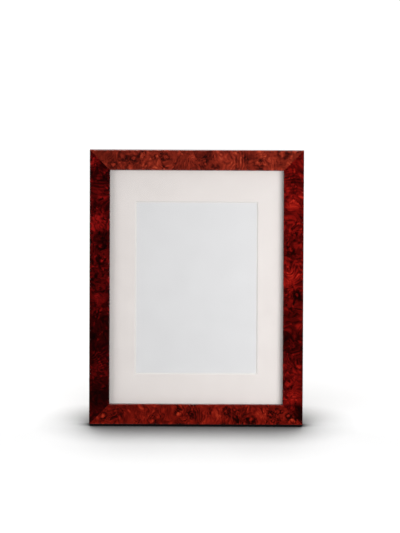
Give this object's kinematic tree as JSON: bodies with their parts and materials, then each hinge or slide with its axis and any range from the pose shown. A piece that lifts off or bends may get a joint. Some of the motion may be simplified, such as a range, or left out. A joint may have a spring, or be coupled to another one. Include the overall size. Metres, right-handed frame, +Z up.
{
  "type": "picture frame",
  "caption": "Upright tabletop picture frame with a mitred red burl moulding, a bevelled mat behind glass and a hinged easel strut.",
  "frame": {"origin": "on the table, under the middle of the standing frame: half-way between its front edge and the foot of its strut", "axes": "+Z up, -Y the way the picture faces, +X to the right as seen from the front"},
  "size_m": [0.21, 0.0832, 0.2664],
  "materials": {
    "burl_lacquer": "dark red burl veneer under clear gloss lacquer",
    "clear_glass": "clear sheet glass",
    "mat_board": "warm white mat board with a white bevel",
    "blank_paper": "blank pale grey sheet",
    "fibreboard": "brown fibreboard",
    "hinge_steel": "plated pressed steel",
    "hanger_steel": "zinc-plated steel",
    "brassed_steel": "brass-plated steel",
    "bright_steel": "bright steel"
  },
  "bodies": {
    "frame": {"rail_top": "burl_lacquer", "rail_bottom": "burl_lacquer", "rail_left": "burl_lacquer", "rail_right": "burl_lacquer", "corner_nails": "bright_steel", "glass": "clear_glass", "mat": "mat_board", "insert_sheet": "blank_paper", "back_board": "fibreboard", "hinge_upper_leaf": "hinge_steel", "hinge_pin": "bright_steel", "board_rivets": "bright_steel", "button_screws": "brassed_steel", "hanger_top": "hanger_steel", "hanger_side": "hanger_steel", "hanger_nails": "bright_steel"},
    "strut": {"strut": "fibreboard", "hinge_lower_leaf": "hinge_steel", "strut_rivets": "bright_steel"},
    "button_top_left": {"turn_button_top_left": "brassed_steel"},
    "button_top_right": {"turn_button_top_right": "brassed_steel"},
    "button_bottom_left": {"turn_button_bottom_left": "brassed_steel"},
    "button_bottom_right": {"turn_button_bottom_right": "brassed_steel"},
    "button_left_upper": {"turn_button_left_upper": "brassed_steel"},
    "button_left_lower": {"turn_button_left_lower": "brassed_steel"},
    "button_right_upper": {"turn_button_right_upper": "brassed_steel"},
    "button_right_lower": {"turn_button_right_lower": "brassed_steel"}
  },
  "joints": [
    {"name": "strut_fold", "type": "hinge", "parent": "frame", "child": "strut", "pos_m": [0, 0.00938, 0.17553], "axis": [1, 0, 0], "range_deg": [-22, 0]},
    {"name": "button_turn_top_left", "type": "hinge", "parent": "frame", "child": "button_top_left", "pos_m": [-0.0525, 0.02468, 0.25713], "axis": [0, 0.9781, -0.2079], "continuous": true},
    {"name": "button_turn_top_right", "type": "hinge", "parent": "frame", "child": "button_top_right", "pos_m": [0.0525, 0.02468, 0.25713], "axis": [0, 0.9781, -0.2079], "continuous": true},
    {"name": "button_turn_bottom_left", "type": "hinge", "parent": "frame", "child": "button_bottom_left", "pos_m": [-0.0525, -0.02854, 0.00672], "axis": [0, 0.9781, -0.2079], "continuous": true},
    {"name": "button_turn_bottom_right", "type": "hinge", "parent": "frame", "child": "button_bottom_right", "pos_m": [0.0525, -0.02854, 0.00672], "axis": [0, 0.9781, -0.2079], "continuous": true},
    {"name": "button_turn_left_upper", "type": "hinge", "parent": "frame", "child": "button_left_upper", "pos_m": [-0.098, 0.01267, 0.20059], "axis": [0, 0.9781, -0.2079], "continuous": true},
    {"name": "button_turn_left_lower", "type": "hinge", "parent": "frame", "child": "button_left_lower", "pos_m": [-0.098, -0.01652, 0.06326], "axis": [0, 0.9781, -0.2079], "continuous": true},
    {"name": "button_turn_right_upper", "type": "hinge", "parent": "frame", "child": "button_right_upper", "pos_m": [0.098, 0.01267, 0.20059], "axis": [0, 0.9781, -0.2079], "continuous": true},
    {"name": "button_turn_right_lower", "type": "hinge", "parent": "frame", "child": "button_right_lower", "pos_m": [0.098, -0.01652, 0.06326], "axis": [0, 0.9781, -0.2079], "continuous": true}
  ]
}
